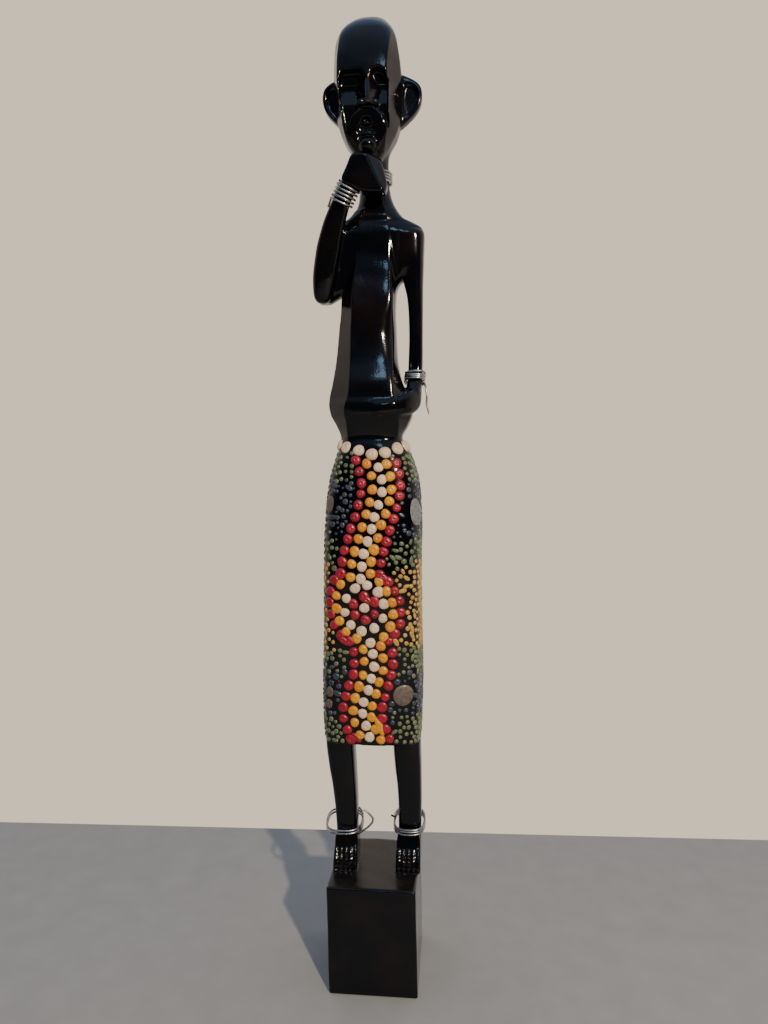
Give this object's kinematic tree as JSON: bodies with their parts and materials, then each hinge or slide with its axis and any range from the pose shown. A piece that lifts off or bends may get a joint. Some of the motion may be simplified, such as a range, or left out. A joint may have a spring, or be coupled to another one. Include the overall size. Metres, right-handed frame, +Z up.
{
  "type": "carved wooden statue",
  "caption": "Slim standing man carved together with his square block, black-painted, in a long dotted skirt, with wire wound round wrists, neck and ankles.",
  "frame": {"origin": "centre of the block's flat underside, at floor level", "axes": "+Z up along the figure; the figure faces -Y; its own left side is at +X"},
  "size_m": [0.0601, 0.055, 0.5],
  "materials": {
    "black_gloss_paint": "carved wood under gloss black paint",
    "bare_metal_wire": "thin bare drawn wire, slightly dull"
  },
  "bodies": {
    "root": {"carved_figure": "black_gloss_paint", "right_wrist_wire": "bare_metal_wire", "left_wrist_wire": "bare_metal_wire", "neck_wire": "bare_metal_wire", "right_ankle_wire": "bare_metal_wire", "left_ankle_wire": "bare_metal_wire"}
  },
  "joints": []
}
